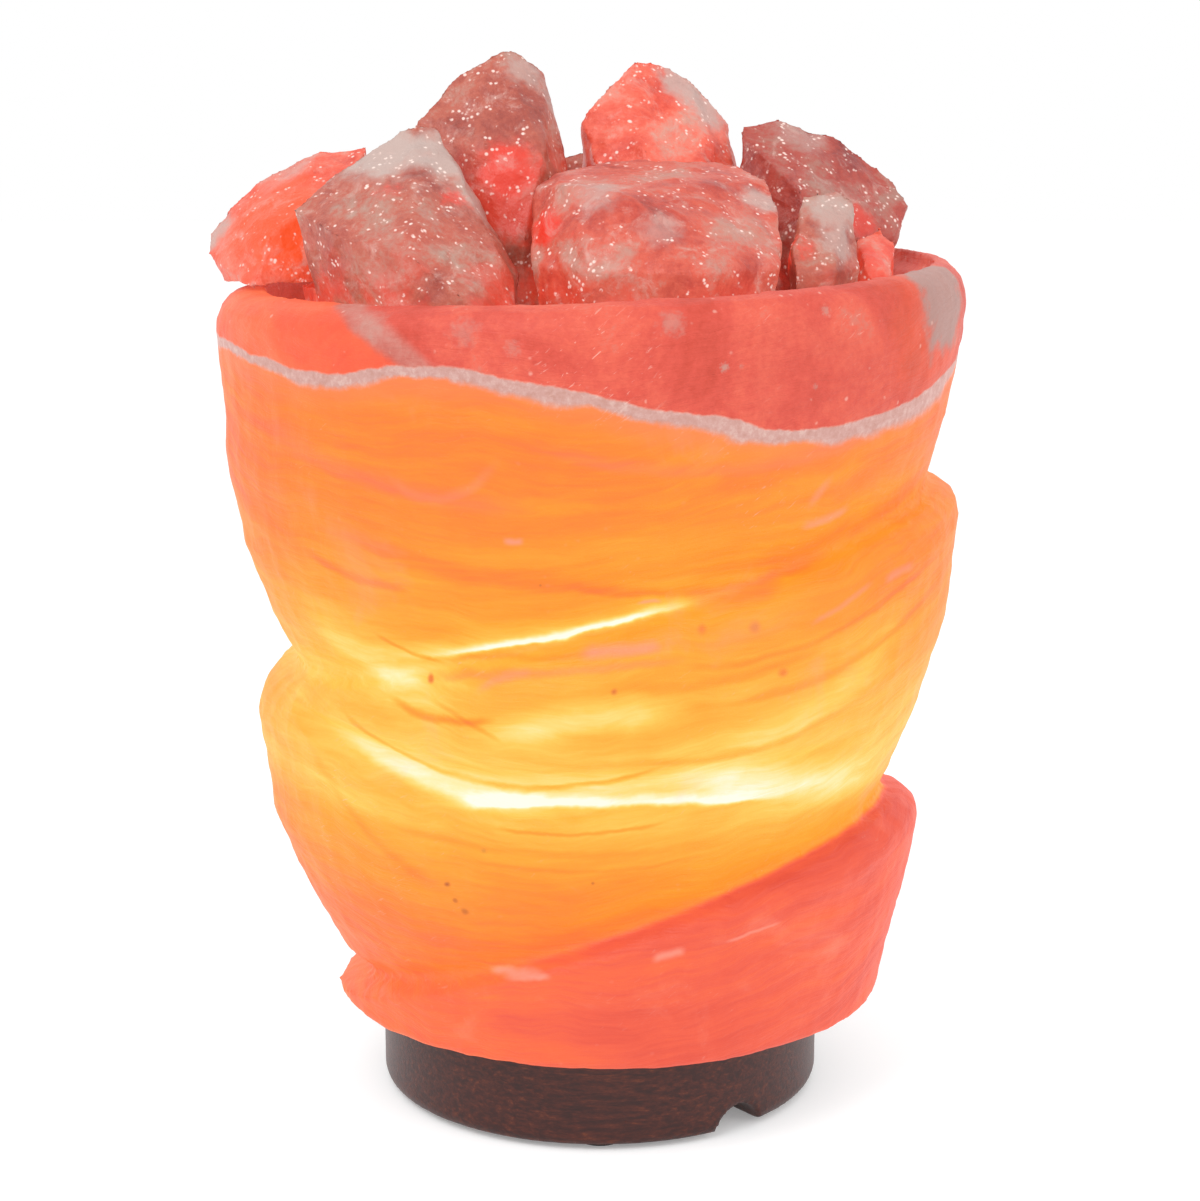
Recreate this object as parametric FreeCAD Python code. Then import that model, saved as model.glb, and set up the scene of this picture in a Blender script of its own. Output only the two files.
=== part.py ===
import FreeCAD, Part
import math
import os

# Salt crystal lamp: a carved salt bowl of tilted tiers on a turned wooden base, with a spring-clip bulb
# holder pushed in from below, a short tubular bulb, and rough chunks of salt heaped in the bowl.
# Millimetres, +Z up. The origin is the centre of the foot, on the surface that the lamp stands on.

Vector = FreeCAD.Vector
UP = Vector(0, 0, 1)

# ---------------------------------------------------------------- driving sizes
LOOSE_GAP = 0.3              # between pieces that move apart
SEAT_GAP = 0.05              # radial, between a fixed piece and its seat
REACH = 200.0                # longer than the lamp is wide, for cutting tools
ROUND_BANDS = 2              # flats that make up a turned rounded edge
CARVED_SIDES = 48            # upright flats round the carved outside
CARVED_ROUND_BANDS = 3       # flats that make up a carved rounded edge
CARVED_CURVE_BANDS = 3       # flats that make up a carved bulging side

# wooden base
BASE_RADIUS = 51.0
BASE_UNDERSIDE = 1.0
BASE_THICKNESS = 22.4
BASE_EDGE_ROUND = 2.0
BASE_BORE_RADIUS = 19.0
RECESS_RADIUS = 29.0
RECESS_DEPTH = 12.0
CHANNEL_WIDTH = 12.6
CHANNEL_HEIGHT = 5.6
CHANNEL_TURN = -52.0         # degrees from +X, front right
PAD_RADIUS = 5.5
PAD_THICKNESS = 2.0
PAD_CIRCLE_RADIUS = 42.0
PAD_COUNT = 3
PAD_START_TURN = 30.0

# fixing of the bowl to the base
SCREW_COUNT = 3
SCREW_CIRCLE_RADIUS = 40.0
SCREW_START_TURN = 90.0
SCREW_SHANK_RADIUS = 1.8
SCREW_HEAD_RADIUS = 3.8
SCREW_HEAD_HEIGHT = 2.4
SCREW_HEAD_POCKET = 6.0
SCREW_HEAD_POCKET_RADIUS = 4.6
SCREW_LENGTH = 30.0
ANCHOR_RADIUS = 4.0
ANCHOR_LENGTH = 22.0

# carved outside of the bowl, from the rim down. A slope is the height gained per millimetre to the
# right, a lean the sideways shift per millimetre of height; levels are given at the middle of the bowl.
RIM_LEVEL = 189.6
RIM_SLOPE = 0.042
RIM_RADIUS = 83.8
RIM_EDGE_ROUND = 7.0
RIM_CENTRE_X = -2.1
STEP_A_LEVEL = 122.4
STEP_A_SLOPE = 0.282
STEP_A_RADIUS = 71.4
STEP_A_CENTRE_X = 2.0
TIER_1_LEAN = -0.06
TIER_1_BULGE_RADIUS = 79.0
TIER_1_BULGE_HEIGHT = 21.5
TIER_1_BAND_RADIUS = 83.2
TIER_1_BAND_HEIGHT = 46.0
TIER_2_CENTRE_X = 1.5
TIER_2_RADIUS = 80.4
TIER_2_SHOULDER_WIDTH = 9.0
TIER_2_SHOULDER_DROP = 9.0
TIER_2_BAND_DROP = 33.0
TIER_2_BAND_RADIUS = 77.4
TIER_2_TAPER_DROP = 70.0
TIER_2_TAPER_RADIUS = 62.0
TIER_2_TAPER_BULGE = 1.0
STEP_C_LEVEL = 48.2
STEP_C_SLOPE = 0.365
STEP_C_FORWARD_RISE = 0.10   # height gained per millimetre towards the front
STEP_C_RADIUS = 62.1
STEP_C_CENTRE_X = 2.6
TIER_3_SHOULDER_WIDTH = 10.0
TIER_3_SHOULDER_DROP = 12.0
TIER_3_FLARE = 11.5          # degrees that the side of the lowest tier leans out
FOOT_RADIUS_OF_BOWL = 64.0
FOOT_ROUND_OF_BOWL = 3.0
BOWL_CENTRE_X = 2.0
ROOTING = 12.0               # how far each tier runs on inside the one below

# shallow step across the front only
STEP_B_AXIS_HEIGHT = 114.6
STEP_B_FORWARD_DROP = 0.39   # height lost per millimetre towards the front
STEP_B_RING_RADIUS = 84.0
STEP_B_RING_SET_BACK = 10.0
STEP_B_UPPER_SLOPE = 62.0    # degrees from the step's own plane
STEP_B_LOWER_SLOPE = 27.0
STEP_B_CUT_WIDTH = 20.0

# inside of the bowl
MOUTH_RADIUS = 72.0
MOUTH_EDGE_ROUND = 4.0
CAVITY_FLOOR_HEIGHT = 158.0
CAVITY_CORNER_ROUND = 14.0
WELL_RADIUS = 30.0
SHAFT_RADIUS = 25.0
SHAFT_TOP_HEIGHT = 50.0

# bulb holder
FLANGE_RADIUS = 27.5
FLANGE_THICKNESS = 1.0
FLANGE_HOLE_RADIUS = 9.0
SHELL_RADIUS = 13.5
SHELL_WALL = 2.6
SHELL_HEIGHT = 40.0
SHELL_FLOOR = 3.0
SHELL_FLOOR_HOLE_RADIUS = 5.0
SHELL_FOOT_RADIUS = 15.0
SHELL_FOOT_HEIGHT = 3.0
CAP_RADIUS = 13.0
CAP_HEIGHT = 9.5
CAP_WALL = 1.8
INLET_RADIUS = 2.2
INLET_WALL = 1.0
INLET_REACH = 19.0
INLET_HEIGHT = 3.3
CLIP_COUNT = 3
CLIP_START_TURN = 8.0
CLIP_WIDTH = 7.0
CLIP_THICKNESS = 0.6
CLIP_ROOT_RADIUS = 16.3
CLIP_BELLY_HEIGHT = 20.0
CLIP_TOP_HEIGHT = 34.0
CLIP_TOP_RADIUS = 16.0
CLIP_FOOT_END = 24.5
RIVET_RADIUS = 1.5
RIVET_HEAD_RADIUS = 2.4
RIVET_HEAD_HEIGHT = 0.8
RIVET_CIRCLE_RADIUS = 21.0
SLEEVE_INNER_RADIUS = 7.2
SLEEVE_WALL = 0.5
SLEEVE_HEIGHT = 19.0
SLEEVE_BELOW_TOP = 1.0
CARRIER_THICKNESS = 5.0
CONTACT_RADIUS = 2.5
CONTACT_THICKNESS = 0.5
CONTACT_PIN_RADIUS = 1.0
SIDE_CONTACT_WIDTH = 4.0
SIDE_CONTACT_HEIGHT = 4.0
TERMINAL_RADIUS = 1.2
TERMINAL_HEAD_HEIGHT = 1.0
TERMINAL_DEPTH = 3.0
TERMINAL_CIRCLE_RADIUS = 9.4

# bulb
BULB_CAP_RADIUS = 6.75
BULB_CAP_HEIGHT = 18.0
BULB_CAP_WALL = 0.4
BULB_INSULATOR_HEIGHT = 3.0
BULB_TIP_RADIUS = 2.2
BULB_TIP_HEIGHT = 0.9
BULB_LENGTH = 70.0
GLASS_RADIUS = 13.0
GLASS_WALL = 0.7
GLASS_NECK_HEIGHT = 6.0
GLASS_SHOULDER_HEIGHT = 7.5
GLASS_DOME_HEIGHT = 8.0
STEM_RADIUS = 2.5
STEM_HEIGHT = 19.0
SUPPORT_WIRE_RADIUS = 0.35
SUPPORT_WIRE_SPREAD = 6.0
SUPPORT_WIRE_HEIGHT = 14.0
FILAMENT_RADIUS = 0.6

# chunks of salt: middle in plan, rough radius, height of the girth, corners round the girth, corners above.
# Heights are above the floor of the bowl; those of the chunk on the rim are above the rim.
CHUNK_FOOT_SHARE = 0.8       # width of a chunk's foot, as a share of its girth
CHUNKS = {
    "salt_chunk_02": ((-40, -33), 25, 28,
                      [(-56, -36), (-44, -53), (-24, -61), (-13, -44), (-14, -24), (-26, -8), (-46, -4), (-61, -16)],
                      [(-66, -30, 47), (-58, -25, 54), (-49, -22, 60), (-40, -17, 65), (-35, -16, 64),
                       (-28, -25, 52), (-20, -44, 38), (-38, -57, 39), (-54, -46, 42)]),
    "salt_chunk_03": ((-24, 8), 25, 40,
                      [(-46, 0), (-36, -14), (-16, -18), (-4, -4), (-5, 18), (-18, 30), (-40, 26)],
                      [(-41, -2, 65), (-33, 2, 74), (-29, 3, 77), (-22, 5, 81), (-19, 8, 81),
                       (-12, 10, 76), (-9, 9, 65), (-26, -12, 58), (-12, -13, 57), (-24, 22, 64)]),
    "salt_chunk_04": ((12, 20), 24, 45,
                      [(-4, 8), (2, -6), (20, -8), (32, 4), (34, 24), (26, 38), (8, 42), (-5, 30)],
                      [(-5, 12, 64), (0, 14, 71), (8, 20, 78), (11, 22, 78), (21, 24, 74),
                       (25, 24, 70), (30, 22, 63), (10, 0, 58), (24, 4, 56), (8, 34, 66)]),
    "salt_chunk_05": ((11, -33), 29, 36,
                      [(-15, -44), (-2, -59), (22, -61), (38, -48), (39, -28), (34, -8), (14, -2), (-4, -6),
                       (-14, -22)],
                      [(-15, -30, 51), (-10, -22, 55), (1, -11, 57), (22, -9, 57), (31, -12, 56),
                       (36, -20, 53), (39, -28, 48), (19, -42, 49), (4, -46, 52), (-8, -40, 53),
                       (2, -56, 42), (26, -55, 40)]),
    "salt_chunk_06": ((48, -27), 12, 34,
                      [(38, -40), (50, -38), (57, -26), (53, -15), (42, -14)],
                      [(43, -22, 50), (52, -18, 51), (55, -21, 48), (42, -34, 42), (50, -34, 39)]),
    "salt_chunk_07": ((50, 14), 22, 38,
                      [(32, 0), (44, -10), (58, -5), (67, 6), (63, 24), (53, 35), (40, 37), (32, 24)],
                      [(30, 12, 63), (40, 16, 65), (53, 18, 61), (60, 18, 57), (68, 16, 50),
                       (71, 12, 45), (69, 8, 40), (44, -6, 50)]),
    "salt_chunk_08": ((62, -10), 11, 30,
                      [(54, -10), (57, -23), (64, -20), (66, -5), (58, -2)],
                      [(62, -4, 42), (56, -9, 39), (66, -5, 38), (57, -17, 36), (62, -18, 33)]),
    "salt_chunk_09": ((-38, 40), 22, 28,
                      [(-56, 24), (-51, 38), (-38, 53), (-20, 59), (-15, 44), (-20, 28), (-36, 18), (-52, 16)],
                      [(-48, 26, 48), (-32, 27, 55), (-25, 42, 52), (-36, 45, 49)]),
    "salt_chunk_10": ((0, 50), 20, 28,
                      [(-16, 48), (-12, 63), (6, 65), (18, 56), (16, 42), (2, 36), (-10, 36)],
                      [(-9, 44, 55), (4, 43, 60), (8, 54, 53), (-5, 57, 50)]),
    "salt_chunk_11": ((36, 45), 18, 27,
                      [(19, 49), (22, 60), (38, 53), (51, 41), (50, 34), (36, 32), (23, 37)],
                      [(30, 38, 53), (40, 39, 50), (38, 47, 45), (27, 50, 48)]),
}
# one chunk lies across the rim, on top of another that fills the bowl below it
RIM_CHUNK = "salt_chunk_01"
UNDER_CHUNK = "salt_chunk_12"
RIM_CHUNK_PLACE = (-72, 4)
RIM_CHUNK_RADIUS = 22
RIM_CHUNK_BASE = [(-84, -4), (-76, -18), (-62, -14), (-51, 6), (-58, 24), (-78, 20)]
RIM_CHUNK_CORNERS = [(-89, 0, 3.4), (-89, 6, 7.4), (-84, 8, 14.4), (-75, 10, 21.4), (-64, 12, 26.4),
                     (-52, 10, 27.4), (-58, -8, 16.4), (-72, -14, 10.4), (-66, 24, 14.4)]
UNDER_CHUNK_CORNERS = [(-62, -18), (-52, -15), (-46, 0), (-47, 17), (-55, 29), (-66, 16), (-68, 0)]

# ---------------------------------------------------------------- derived heights
base_top = BASE_UNDERSIDE + BASE_THICKNESS
recess_ceiling = BASE_UNDERSIDE + RECESS_DEPTH
flange_top = recess_ceiling - LOOSE_GAP
flange_bottom = flange_top - FLANGE_THICKNESS
shell_bottom = flange_top
shell_top = shell_bottom + SHELL_HEIGHT
sleeve_top = shell_top - SLEEVE_BELOW_TOP
carrier_top = sleeve_top - SLEEVE_HEIGHT
carrier_bottom = carrier_top - CARRIER_THICKNESS
cap_bottom = flange_bottom - CAP_HEIGHT
clip_bottom = flange_bottom - CLIP_THICKNESS
clip_reach = math.sqrt((BASE_BORE_RADIUS - LOOSE_GAP) ** 2 - (CLIP_WIDTH / 2) ** 2) - CLIP_THICKNESS
bulb_tip = carrier_top + CONTACT_THICKNESS + LOOSE_GAP
insulator_bottom = bulb_tip + BULB_TIP_HEIGHT
bulb_cap_bottom = insulator_bottom + BULB_INSULATOR_HEIGHT
bulb_cap_top = bulb_cap_bottom + BULB_CAP_HEIGHT
bulb_top = bulb_tip + BULB_LENGTH
glass_neck_radius = BULB_CAP_RADIUS - BULB_CAP_WALL - SEAT_GAP
glass_bottom = bulb_cap_top - GLASS_NECK_HEIGHT
stem_bottom = glass_bottom + GLASS_WALL
stem_top = stem_bottom + STEM_HEIGHT
pad_top = PAD_THICKNESS
screw_seat = BASE_UNDERSIDE + SCREW_HEAD_POCKET
cavity_floor_flat = MOUTH_RADIUS - CAVITY_CORNER_ROUND


# ---------------------------------------------------------------- small helpers
def cylinder(radius, bottom, top, x=0.0, y=0.0):
    return Part.makeCylinder(radius, top - bottom, Vector(x, y, bottom), UP)


def tube(outer, inner, bottom, top, x=0.0, y=0.0):
    return cylinder(outer, bottom, top, x, y).cut(cylinder(inner, bottom, top, x, y))


def turned(corners, x=0.0):
    """Solid of revolution about the upright line through x, from straight runs through (radius, height)."""
    points = [Vector(x + radius, 0, height) for radius, height in corners]
    face = Part.Face(Part.makePolygon(points + points[:1]))
    return face.revolve(Vector(x, 0, 0), UP, 360)


def bow(start, middle, end, runs):
    """Corners along the arc through three points, in flat carved bands."""
    arc = Part.Arc(*[Vector(radius, 0, height) for radius, height in (start, middle, end)]).toShape()
    return [(spot.x, spot.z) for spot in arc.discretize(runs + 1)]


def quarter_round(start, end, bulges_out=True, bands=ROUND_BANDS):
    """Corners round the edge between a level run and an upright run."""
    share = math.sqrt(0.5)
    if bulges_out:
        middle = (start[0] + (end[0] - start[0]) * share, end[1] + (start[1] - end[1]) * share)
    else:
        middle = (end[0] + (start[0] - end[0]) * share, start[1] + (end[1] - start[1]) * share)
    return bow(start, middle, end, bands)


def blend(low, high, share):
    return low + (high - low) * share


def around(count, start=0.0):
    """Angles in degrees, evenly spaced round the axis."""
    return [start + 360.0 * i / count for i in range(count)]


def on_circle(radius, degrees):
    angle = math.radians(degrees)
    return radius * math.cos(angle), radius * math.sin(angle)


def turned_about_axis(shape, degrees):
    copy = shape.copy()
    copy.rotate(Vector(0, 0, 0), UP, degrees)
    return copy


def group(solids):
    return Part.makeCompound(solids)


def save(name, shape):
    if not shape.isValid():
        print("NOT VALID", name)
    print("%-20s solids %2d  volume %10.1f" % (name, len(shape.Solids), shape.Volume))
    shape.exportStep("parts/%s.step" % name)


# ---------------------------------------------------------------- carved bowl
def carved(profile, level, slope, centre_x, lean=0.0, forward_rise=0.0):
    """Solid worked round the upright axis in flats, each level ring of it tipped to the slope."""
    rings = []
    for radius, height in profile:
        ring = []
        for turn in around(CARVED_SIDES):
            x, y = on_circle(radius, turn)
            ring.append(Vector(centre_x + x + lean * height, y, level + height + slope * x - forward_rise * y))
        rings.append(ring)
    faces = [Part.Face(Part.makePolygon(ring + ring[:1])) for ring in (rings[0], rings[-1])]
    for low, high in zip(rings, rings[1:]):
        for i in range(CARVED_SIDES):
            flat = [low[i - 1], low[i], high[i], high[i - 1]]
            faces.append(Part.Face(Part.makePolygon(flat + flat[:1])))
    solid = Part.Solid(Part.Shell(faces))
    if solid.Volume < 0:
        solid.reverse()
    return solid


def carved_round(start, end):
    return quarter_round(start, end, bands=CARVED_ROUND_BANDS)


def rounded_roof(radius, edge_width, edge_drop):
    """Profile under a flat top of the given radius, with a rounded, then flared, edge around it."""
    outer = radius + edge_width
    return carved_round((radius, 0), (outer, -edge_drop)) + [(outer + edge_width, -REACH)]


def top_tier():
    foot = (STEP_A_RADIUS - ROOTING / 2, -ROOTING)
    side = bow((STEP_A_RADIUS, 0), (TIER_1_BULGE_RADIUS, TIER_1_BULGE_HEIGHT),
               (TIER_1_BAND_RADIUS, TIER_1_BAND_HEIGHT), CARVED_CURVE_BANDS)
    top = (TIER_1_BAND_RADIUS, 2 * TIER_1_BAND_HEIGHT)
    solid = carved([foot] + side + [top], STEP_A_LEVEL, STEP_A_SLOPE, STEP_A_CENTRE_X, lean=TIER_1_LEAN)
    rim = rounded_roof(RIM_RADIUS - RIM_EDGE_ROUND, RIM_EDGE_ROUND, RIM_EDGE_ROUND)
    return solid.common(carved(rim, RIM_LEVEL, RIM_SLOPE, RIM_CENTRE_X))


def middle_tier():
    shoulder_start = (TIER_2_RADIUS - TIER_2_SHOULDER_WIDTH, 0)
    inside_top = (shoulder_start[0] - ROOTING, TIER_2_SHOULDER_DROP / 4)
    shoulder = carved_round(shoulder_start, (TIER_2_RADIUS, -TIER_2_SHOULDER_DROP))
    band = (TIER_2_BAND_RADIUS, -TIER_2_BAND_DROP)
    taper = (TIER_2_TAPER_RADIUS, -TIER_2_TAPER_DROP)
    belly = ((band[0] + taper[0]) / 2 + TIER_2_TAPER_BULGE, (band[1] + taper[1]) / 2)
    bottom = (taper[0] - ROOTING, taper[1] - ROOTING)
    side = bow(band, belly, taper, CARVED_CURVE_BANDS)
    return carved([inside_top] + shoulder + side + [bottom], STEP_A_LEVEL, STEP_A_SLOPE, TIER_2_CENTRE_X)


def foot_tier():
    """The lowest tier: an upright flared cup whose top is taken off by a rounded, sloping shoulder."""
    height = STEP_C_LEVEL + STEP_C_SLOPE * STEP_C_RADIUS + ROOTING - base_top
    edge = carved_round((FOOT_RADIUS_OF_BOWL - FOOT_ROUND_OF_BOWL, 0),
                        (FOOT_RADIUS_OF_BOWL, FOOT_ROUND_OF_BOWL))
    top = (FOOT_RADIUS_OF_BOWL + height * math.tan(math.radians(TIER_3_FLARE)), height)
    cup = carved(edge + [top], base_top, 0.0, BOWL_CENTRE_X)
    roof = rounded_roof(STEP_C_RADIUS, TIER_3_SHOULDER_WIDTH, TIER_3_SHOULDER_DROP)
    return cup.common(carved(roof, STEP_C_LEVEL, STEP_C_SLOPE, STEP_C_CENTRE_X, forward_rise=STEP_C_FORWARD_RISE))


def bowl_inside():
    """Mouth, chunk cavity and bulb well, turned about the middle of the mouth and of the base."""
    above = RIM_LEVEL + REACH / 10
    mouth_outer = MOUTH_RADIUS + MOUTH_EDGE_ROUND
    mouth = quarter_round((mouth_outer, RIM_LEVEL), (MOUTH_RADIUS, RIM_LEVEL - MOUTH_EDGE_ROUND))
    corner = quarter_round((cavity_floor_flat, CAVITY_FLOOR_HEIGHT),
                           (MOUTH_RADIUS, CAVITY_FLOOR_HEIGHT + CAVITY_CORNER_ROUND))
    cavity = turned([(0, above), (mouth_outer, above)] + mouth + corner[::-1] + [(0, CAVITY_FLOOR_HEIGHT)],
                    RIM_CENTRE_X)
    shaft = cylinder(SHAFT_RADIUS, base_top - 1, CAVITY_FLOOR_HEIGHT + 1)
    return cavity.fuse(shaft).fuse(cylinder(WELL_RADIUS, SHAFT_TOP_HEIGHT, CAVITY_FLOOR_HEIGHT + 1))


def front_step():
    """Tool for the shallow step B: a ring with a V section, set back so that it bites at the front only."""
    width = STEP_B_CUT_WIDTH
    up = width * math.tan(math.radians(STEP_B_UPPER_SLOPE))
    down = width * math.tan(math.radians(STEP_B_LOWER_SLOPE))
    ring = turned([(STEP_B_RING_RADIUS, 0), (STEP_B_RING_RADIUS + width, -down),
                   (STEP_B_RING_RADIUS + width, up)])
    ring.translate(Vector(0, STEP_B_RING_SET_BACK, 0))
    ring.rotate(Vector(0, 0, 0), Vector(1, 0, 0), math.degrees(math.atan(STEP_B_FORWARD_DROP)))
    ring.translate(Vector(0, 0, STEP_B_AXIS_HEIGHT))
    return ring


def screw_places():
    return [on_circle(SCREW_CIRCLE_RADIUS, turn) for turn in around(SCREW_COUNT, SCREW_START_TURN)]


def pad_places():
    return [on_circle(PAD_CIRCLE_RADIUS, turn) for turn in around(PAD_COUNT, PAD_START_TURN)]


def salt_bowl():
    bowl = top_tier().fuse(middle_tier()).fuse(foot_tier())
    bowl = bowl.cut(bowl_inside()).cut(front_step())
    for x, y in screw_places():
        bowl = bowl.cut(cylinder(ANCHOR_RADIUS + SEAT_GAP, base_top - 1, base_top + ANCHOR_LENGTH + SEAT_GAP, x, y))
    return bowl


# ---------------------------------------------------------------- base and its fixings
def wood_base():
    round_off = BASE_EDGE_ROUND
    low = quarter_round((BASE_RADIUS - round_off, BASE_UNDERSIDE), (BASE_RADIUS, BASE_UNDERSIDE + round_off))
    high = quarter_round((BASE_RADIUS - round_off, base_top), (BASE_RADIUS, base_top - round_off))
    disc = turned([(0, BASE_UNDERSIDE)] + low + high[::-1] + [(0, base_top)])
    disc = disc.cut(cylinder(BASE_BORE_RADIUS, BASE_UNDERSIDE - 1, base_top + 1))
    disc = disc.cut(cylinder(RECESS_RADIUS, BASE_UNDERSIDE - 1, recess_ceiling))
    channel_radius = (CHANNEL_WIDTH ** 2 / 4 + CHANNEL_HEIGHT ** 2) / (2 * CHANNEL_HEIGHT)
    start = Vector(0, 0, BASE_UNDERSIDE + CHANNEL_HEIGHT - channel_radius)
    out = Vector(*on_circle(1, CHANNEL_TURN), 0)
    disc = disc.cut(Part.makeCylinder(channel_radius, 2 * BASE_RADIUS, start, out))
    for x, y in screw_places():
        disc = disc.cut(cylinder(SCREW_SHANK_RADIUS + SEAT_GAP, BASE_UNDERSIDE - 1, base_top + 1, x, y))
        disc = disc.cut(cylinder(SCREW_HEAD_POCKET_RADIUS, BASE_UNDERSIDE - 1, screw_seat, x, y))
    for x, y in pad_places():
        disc = disc.cut(cylinder(PAD_RADIUS + SEAT_GAP, BASE_UNDERSIDE - 1, pad_top, x, y))
    return disc


def base_feet():
    return group([cylinder(PAD_RADIUS, 0, pad_top, x, y) for x, y in pad_places()])


def base_screws():
    screws = []
    for x, y in screw_places():
        head = cylinder(SCREW_HEAD_RADIUS, screw_seat - SCREW_HEAD_HEIGHT, screw_seat, x, y)
        shank = cylinder(SCREW_SHANK_RADIUS, screw_seat - SCREW_HEAD_HEIGHT, screw_seat + SCREW_LENGTH, x, y)
        screws.append(head.fuse(shank))
    return group(screws)


def screw_anchors():
    hole_top = screw_seat + SCREW_LENGTH + SEAT_GAP
    anchors = []
    for x, y in screw_places():
        anchor = cylinder(ANCHOR_RADIUS, base_top, base_top + ANCHOR_LENGTH, x, y)
        anchors.append(anchor.cut(cylinder(SCREW_SHANK_RADIUS + SEAT_GAP, base_top - 1, hole_top, x, y)))
    return group(anchors)


# ---------------------------------------------------------------- bulb holder
def clip_slot(extra):
    """Upright and foot of one spring clip, in the XZ plane, grown by a small extra."""
    half = CLIP_WIDTH / 2 + extra
    path = [(CLIP_ROOT_RADIUS, clip_bottom), (CLIP_ROOT_RADIUS, flange_top + 1),
            (clip_reach, CLIP_BELLY_HEIGHT), (CLIP_TOP_RADIUS, CLIP_TOP_HEIGHT)]
    outer = [(radius + CLIP_THICKNESS + extra, height) for radius, height in path]
    inner = [(radius - extra, height) for radius, height in path]
    points = [Vector(radius, -half, height) for radius, height in inner + outer[::-1]]
    upright = Part.Face(Part.makePolygon(points + points[:1])).extrude(Vector(0, 2 * half, 0))
    foot = Part.makeBox(CLIP_FOOT_END - CLIP_ROOT_RADIUS, 2 * half, CLIP_THICKNESS,
                        Vector(CLIP_ROOT_RADIUS, -half, clip_bottom))
    return upright.fuse(foot)


def holder_flange():
    disc = tube(FLANGE_RADIUS, FLANGE_HOLE_RADIUS, flange_bottom, flange_top)
    for turn in around(CLIP_COUNT, CLIP_START_TURN):
        disc = disc.cut(turned_about_axis(clip_slot(SEAT_GAP), turn))
        x, y = on_circle(RIVET_CIRCLE_RADIUS, turn)
        disc = disc.cut(cylinder(RIVET_RADIUS + SEAT_GAP, flange_bottom - 1, flange_top + 1, x, y))
    return disc


def holder_clips():
    clips = []
    for turn in around(CLIP_COUNT, CLIP_START_TURN):
        x, y = on_circle(RIVET_CIRCLE_RADIUS, turn)
        clip = turned_about_axis(clip_slot(0.0), turn)
        clips.append(clip.cut(cylinder(RIVET_RADIUS + SEAT_GAP, clip_bottom - 1, flange_top, x, y)))
    return group(clips)


def clip_rivets():
    rivets = []
    for turn in around(CLIP_COUNT, CLIP_START_TURN):
        x, y = on_circle(RIVET_CIRCLE_RADIUS, turn)
        shank = cylinder(RIVET_RADIUS, clip_bottom - RIVET_HEAD_HEIGHT, flange_top, x, y)
        rivets.append(shank.fuse(cylinder(RIVET_HEAD_RADIUS, clip_bottom - RIVET_HEAD_HEIGHT, clip_bottom, x, y)))
    return group(rivets)


def holder_shell():
    inner = SHELL_RADIUS - SHELL_WALL
    floor_bottom = carrier_bottom - SHELL_FLOOR
    return turned([(inner, shell_bottom), (SHELL_FOOT_RADIUS, shell_bottom),
                   (SHELL_FOOT_RADIUS, shell_bottom + SHELL_FOOT_HEIGHT),
                   (SHELL_RADIUS, shell_bottom + SHELL_FOOT_HEIGHT), (SHELL_RADIUS, shell_top),
                   (inner, shell_top), (inner, carrier_bottom), (SHELL_FLOOR_HOLE_RADIUS, carrier_bottom),
                   (SHELL_FLOOR_HOLE_RADIUS, floor_bottom), (inner, floor_bottom)])


def holder_cap():
    outside = cylinder(CAP_RADIUS, cap_bottom, flange_bottom)
    out = Vector(*on_circle(1, CHANNEL_TURN), 0)
    middle = Vector(0, 0, INLET_HEIGHT)
    boss = Part.makeCylinder(INLET_RADIUS + INLET_WALL, INLET_REACH, middle, out)
    cap = outside.fuse(boss).cut(cylinder(CAP_RADIUS - CAP_WALL, cap_bottom + CAP_WALL, flange_bottom + 1))
    return cap.cut(Part.makeCylinder(INLET_RADIUS, INLET_REACH + 1, middle, out))


def contact_carrier():
    disc = cylinder(SHELL_RADIUS - SHELL_WALL - SEAT_GAP, carrier_bottom, carrier_top)
    disc = disc.cut(cylinder(CONTACT_PIN_RADIUS + SEAT_GAP, carrier_bottom - 1, carrier_top + 1))
    for x, y in terminal_places():
        disc = disc.cut(cylinder(TERMINAL_RADIUS + SEAT_GAP, carrier_top - TERMINAL_DEPTH, carrier_top + 1, x, y))
    return disc


def terminal_places():
    return [on_circle(TERMINAL_CIRCLE_RADIUS, turn) for turn in (90, 270)]


def terminal_screws():
    return group([cylinder(TERMINAL_RADIUS, carrier_top - TERMINAL_DEPTH, carrier_top + TERMINAL_HEAD_HEIGHT, x, y)
                  for x, y in terminal_places()])


def screw_sleeve():
    return tube(SLEEVE_INNER_RADIUS + SLEEVE_WALL, SLEEVE_INNER_RADIUS, carrier_top, sleeve_top)


def centre_contact():
    pad = cylinder(CONTACT_RADIUS, carrier_top, carrier_top + CONTACT_THICKNESS)
    return pad.fuse(cylinder(CONTACT_PIN_RADIUS, carrier_bottom, carrier_top))


def side_contact():
    start = SLEEVE_INNER_RADIUS + SLEEVE_WALL + SEAT_GAP
    end = SHELL_RADIUS - SHELL_WALL - 2 * CONTACT_THICKNESS
    corner = Vector(start, -SIDE_CONTACT_WIDTH / 2, carrier_top)
    upright = Part.makeBox(CONTACT_THICKNESS, SIDE_CONTACT_WIDTH, SIDE_CONTACT_HEIGHT, corner)
    return upright.fuse(Part.makeBox(end - start, SIDE_CONTACT_WIDTH, CONTACT_THICKNESS, corner))


# ---------------------------------------------------------------- bulb
def bulb_tip_contact():
    return turned([(0, bulb_tip), (BULB_TIP_RADIUS / 2, bulb_tip), (BULB_TIP_RADIUS, insulator_bottom),
                   (0, insulator_bottom)])


def bulb_tip_insulator():
    return turned([(0, insulator_bottom), (BULB_TIP_RADIUS + 1, insulator_bottom),
                   (BULB_CAP_RADIUS - 2 * BULB_CAP_WALL, bulb_cap_bottom), (0, bulb_cap_bottom)])


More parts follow.
